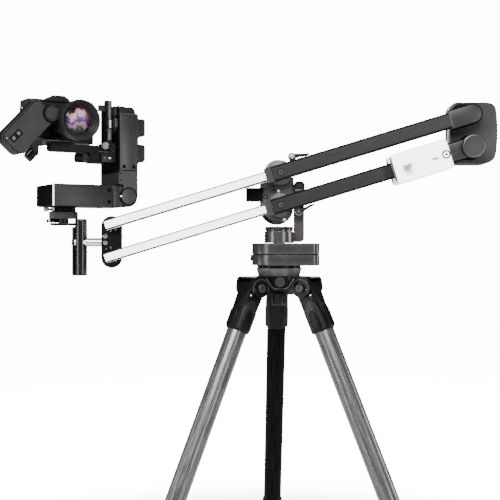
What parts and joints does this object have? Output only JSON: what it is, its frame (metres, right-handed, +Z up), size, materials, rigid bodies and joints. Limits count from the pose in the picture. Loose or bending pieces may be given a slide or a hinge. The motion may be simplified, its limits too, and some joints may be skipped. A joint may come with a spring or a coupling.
{
  "type": "camera jib crane",
  "caption": "Short travel camera jib on a carbon tripod: motorised pan base, parallel telescopic arms with counterweights, and a motorised head that holds a mirrorless camera with a focus motor.",
  "frame": {"origin": "the middle of the object's box, on the floor under the tripod", "axes": "+Z up; +X along the arms, from the camera to the counterweights; +Y away from the side that the picture shows"},
  "size_m": [0.8862, 0.4614, 0.8883],
  "materials": {
    "black_metal": "satin black anodised",
    "dark_metal": "satin dark grey anodised",
    "brushed_grey_metal": "brushed dark grey anodised",
    "warm_grey_metal": "turned and bead blasted warm grey",
    "bright_metal": "clear anodised, bright",
    "weight_steel": "brushed faces, sawn edges",
    "carbon_tube": "woven carbon under clear coat",
    "black_plastic": "fine grain, black",
    "camera_black": "grained black",
    "lens_black": "satin barrel, coated glass",
    "grip_rubber": "ribbed black",
    "module_grey": "satin grey, black rim"
  },
  "bodies": {
    "tripod": {"tripod_spider": "black_metal", "bowl_leveller": "warm_grey_metal", "pan_base_lower_shell": "dark_metal", "pan_base_upper_shell": "dark_metal"},
    "bowl_clamp": {"bowl_clamp_knob": "black_plastic"},
    "leg_left": {"leg_casting_left": "black_metal", "leg_tube_left": "carbon_tube"},
    "leg_right": {"leg_casting_right": "black_metal", "leg_tube_right": "carbon_tube"},
    "leg_rear": {"leg_casting_rear": "black_metal", "leg_tube_rear": "carbon_tube"},
    "lock_left": {"leg_lock_left": "black_plastic"},
    "lock_right": {"leg_lock_right": "black_plastic"},
    "lock_rear": {"leg_lock_rear": "black_plastic"},
    "stage_left": {"lower_leg_left": "carbon_tube"},
    "stage_right": {"lower_leg_right": "carbon_tube"},
    "stage_rear": {"lower_leg_rear": "carbon_tube"},
    "power_button": {"power_button": "black_plastic"},
    "pan": {"pan_drum": "warm_grey_metal", "support_bracket": "dark_metal", "fulcrum_frame": "dark_metal", "fulcrum_motor_box": "black_plastic", "control_module": "black_plastic"},
    "upper_arm": {"upper_arm_tube": "brushed_grey_metal", "upper_arm_collar": "warm_grey_metal", "upper_arm_link": "dark_metal"},
    "upper_lever": {"upper_lock_lever": "warm_grey_metal"},
    "upper_slide": {"upper_slide_tube": "bright_metal"},
    "lower_arm": {"lower_arm_tube": "brushed_grey_metal", "lower_arm_collar": "warm_grey_metal", "lower_arm_link": "dark_metal", "weight_plates_front": "weight_steel", "weight_plates_rear": "weight_steel"},
    "lower_lever": {"lower_lock_lever": "warm_grey_metal"},
    "lower_slide": {"lower_slide_tube": "bright_metal"},
    "weight_knob": {"weight_knob": "bright_metal"},
    "rear_cover": {"rear_cover": "dark_metal"},
    "rear_knob": {"rear_knob": "dark_metal"},
    "front": {"front_plate": "black_metal", "reach_rod": "bright_metal", "post": "black_metal", "post_plate": "black_metal", "quick_release_clamp": "black_metal"},
    "tightening_disc": {"tightening_disc": "black_metal"},
    "quick_release_knob": {"quick_release_knob": "bright_metal"},
    "head": {"head_box": "brushed_grey_metal", "head_hinge_block": "brushed_grey_metal"},
    "head_arm": {"head_arm": "brushed_grey_metal", "head_battery_upper": "black_plastic", "head_battery_lower": "black_plastic"},
    "tilt_cradle": {"tilt_cradle": "black_metal"},
    "camera": {"cradle_clamp": "black_metal", "camera_plate": "black_metal", "camera_body": "camera_black", "camera_lens": "lens_black", "focus_module": "module_grey"},
    "focus_ring": {"focus_ring": "grip_rubber"},
    "focus_wheel": {"focus_wheel": "black_plastic"},
    "focus_button_left": {"focus_button_left": "black_plastic"},
    "focus_button_right": {"focus_button_right": "black_plastic"}
  },
  "joints": [
    {"name": "bowl_clamp_turn", "type": "hinge", "parent": "tripod", "child": "bowl_clamp", "pos_m": [0.04493, -0.0676, 0.52], "axis": [0, 0, 1], "range_deg": [0, 90]},
    {"name": "leg_spread_left", "type": "hinge", "parent": "tripod", "child": "leg_left", "pos_m": [-0.00367, -0.09738, 0.542], "axis": [-0.5225, 0.8526, 0], "range_deg": [-23, 0]},
    {"name": "leg_spread_right", "type": "hinge", "parent": "tripod", "child": "leg_right", "pos_m": [0.09502, -0.0948, 0.542], "axis": [-0.4772, -0.8788, 0], "range_deg": [-23, 0]},
    {"name": "leg_spread_rear", "type": "hinge", "parent": "tripod", "child": "leg_rear", "pos_m": [0.04344, -0.01062, 0.542], "axis": [0.9997, 0.0262, 0], "range_deg": [-23, 0]},
    {"name": "leg_lock_twist_left", "type": "hinge", "parent": "leg_left", "child": "lock_left", "pos_m": [-0.00367, -0.09738, 0.542], "axis": [0.3359, 0.2058, 0.9191], "range_deg": [0, 90]},
    {"name": "leg_lock_twist_right", "type": "hinge", "parent": "leg_right", "child": "lock_right", "pos_m": [0.09502, -0.0948, 0.542], "axis": [-0.3462, 0.188, 0.9191], "range_deg": [0, 90]},
    {"name": "leg_lock_twist_rear", "type": "hinge", "parent": "leg_rear", "child": "lock_rear", "pos_m": [0.04344, -0.01062, 0.542], "axis": [0.0103, -0.3938, 0.9191], "range_deg": [0, 90]},
    {"name": "leg_slide_left", "type": "slide", "parent": "leg_left", "child": "stage_left", "axis": [-0.3359, -0.2058, -0.9191], "range_m": [0, 0.3]},
    {"name": "leg_slide_right", "type": "slide", "parent": "leg_right", "child": "stage_right", "axis": [0.3462, -0.188, -0.9191], "range_m": [0, 0.3]},
    {"name": "leg_slide_rear", "type": "slide", "parent": "leg_rear", "child": "stage_rear", "axis": [-0.0103, 0.3938, -0.9191], "range_m": [0, 0.3]},
    {"name": "power_press", "type": "slide", "parent": "tripod", "child": "power_button", "axis": [1, 0, 0], "range_m": [0, 0.001], "stiffness_N_per_m": 400},
    {"name": "pan_turn", "type": "hinge", "parent": "tripod", "child": "pan", "pos_m": [0.04493, -0.0676, 0.63], "axis": [0, 0, 1], "continuous": true},
    {"name": "jib_tilt", "type": "hinge", "parent": "pan", "child": "upper_arm", "pos_m": [0.04693, -0.0676, 0.75], "axis": [0, 1, 0], "range_deg": [-18, 36]},
    {"name": "lower_arm_tilt", "type": "hinge", "parent": "pan", "child": "lower_arm", "pos_m": [0.04693, -0.0676, 0.691], "axis": [0, 1, 0], "range_deg": [-18, 36]},
    {"name": "rear_cover_level", "type": "hinge", "parent": "upper_arm", "child": "rear_cover", "pos_m": [0.39186, -0.0676, 0.8548], "axis": [0, 1, 0], "range_deg": [-36, 18]},
    {"name": "front_plate_level", "type": "hinge", "parent": "upper_slide", "child": "front", "pos_m": [-0.25925, -0.0676, 0.65697], "axis": [0, 1, 0], "range_deg": [-36, 18]},
    {"name": "upper_extend", "type": "slide", "parent": "upper_arm", "child": "upper_slide", "axis": [0.9568, 0, 0.2907], "range_m": [0, 0.22]},
    {"name": "lower_extend", "type": "slide", "parent": "lower_arm", "child": "lower_slide", "axis": [0.9568, 0, 0.2907], "range_m": [0, 0.22]},
    {"name": "upper_lever_turn", "type": "hinge", "parent": "upper_arm", "child": "upper_lever", "pos_m": [0.06716, -0.0816, 0.77872], "axis": [0, -1, 0], "range_deg": [0, 110]},
    {"name": "lower_lever_turn", "type": "hinge", "parent": "lower_arm", "child": "lower_lever", "pos_m": [0.07971, -0.0816, 0.67839], "axis": [0, -1, 0], "range_deg": [-110, 0]},
    {"name": "rear_knob_turn", "type": "hinge", "parent": "rear_cover", "child": "rear_knob", "pos_m": [0.39186, -0.1006, 0.7958], "axis": [0, 1, 0], "range_deg": [0, 90]},
    {"name": "weight_knob_turn", "type": "hinge", "parent": "lower_arm", "child": "weight_knob", "pos_m": [0.27122, -0.1227, 0.75601], "axis": [0, 1, 0], "range_deg": [0, 90]},
    {"name": "tightening_turn", "type": "hinge", "parent": "front", "child": "tightening_disc", "pos_m": [-0.34955, -0.0556, 0.66997], "axis": [0, 0, 1], "range_deg": [0, 90]},
    {"name": "quick_release_turn", "type": "hinge", "parent": "front", "child": "quick_release_knob", "pos_m": [-0.37545, -0.0556, 0.68407], "axis": [1, 0, 0], "range_deg": [0, 90]},
    {"name": "head_pan", "type": "hinge", "parent": "front", "child": "head", "pos_m": [-0.34955, -0.0556, 0.68998], "axis": [0, 0, 1], "continuous": true},
    {"name": "head_fold", "type": "hinge", "parent": "head", "child": "head_arm", "pos_m": [-0.25429, -0.0006, 0.70857], "axis": [-0.5, 0.866, 0], "range_deg": [0, 90]},
    {"name": "head_tilt", "type": "hinge", "parent": "head_arm", "child": "tilt_cradle", "pos_m": [-0.26135, -0.02777, 0.84118], "axis": [0.866, 0.5, 0], "continuous": true},
    {"name": "camera_height", "type": "slide", "parent": "tilt_cradle", "child": "camera", "axis": [0, 0, 1], "range_m": [-0.01, 0.01]},
    {"name": "focus_ring_turn", "type": "hinge", "parent": "camera", "child": "focus_ring", "pos_m": [-0.35301, -0.0576, 0.83708], "axis": [-0.5, 0.866, 0], "range_deg": [-60, 60]},
    {"name": "focus_wheel_turn", "type": "hinge", "parent": "camera", "child": "focus_wheel", "pos_m": [-0.36164, -0.13186, 0.84698], "axis": [-0.5, 0.866, 0], "range_deg": [-131, 131]},
    {"name": "focus_button_left_press", "type": "slide", "parent": "camera", "child": "focus_button_left", "axis": [-0.5, 0.866, 0], "range_m": [0, 0.001], "stiffness_N_per_m": 300},
    {"name": "focus_button_right_press", "type": "slide", "parent": "camera", "child": "focus_button_right", "axis": [-0.5, 0.866, 0], "range_m": [0, 0.001], "stiffness_N_per_m": 300}
  ],
  "couplings": [
    {"joint": "lower_arm_tilt", "follows": "jib_tilt", "ratio": 1},
    {"joint": "rear_cover_level", "follows": "jib_tilt", "ratio": -1},
    {"joint": "front_plate_level", "follows": "jib_tilt", "ratio": -1},
    {"joint": "lower_extend", "follows": "upper_extend", "ratio": 1},
    {"joint": "focus_wheel_turn", "follows": "focus_ring_turn", "ratio": -2.1831}
  ]
}
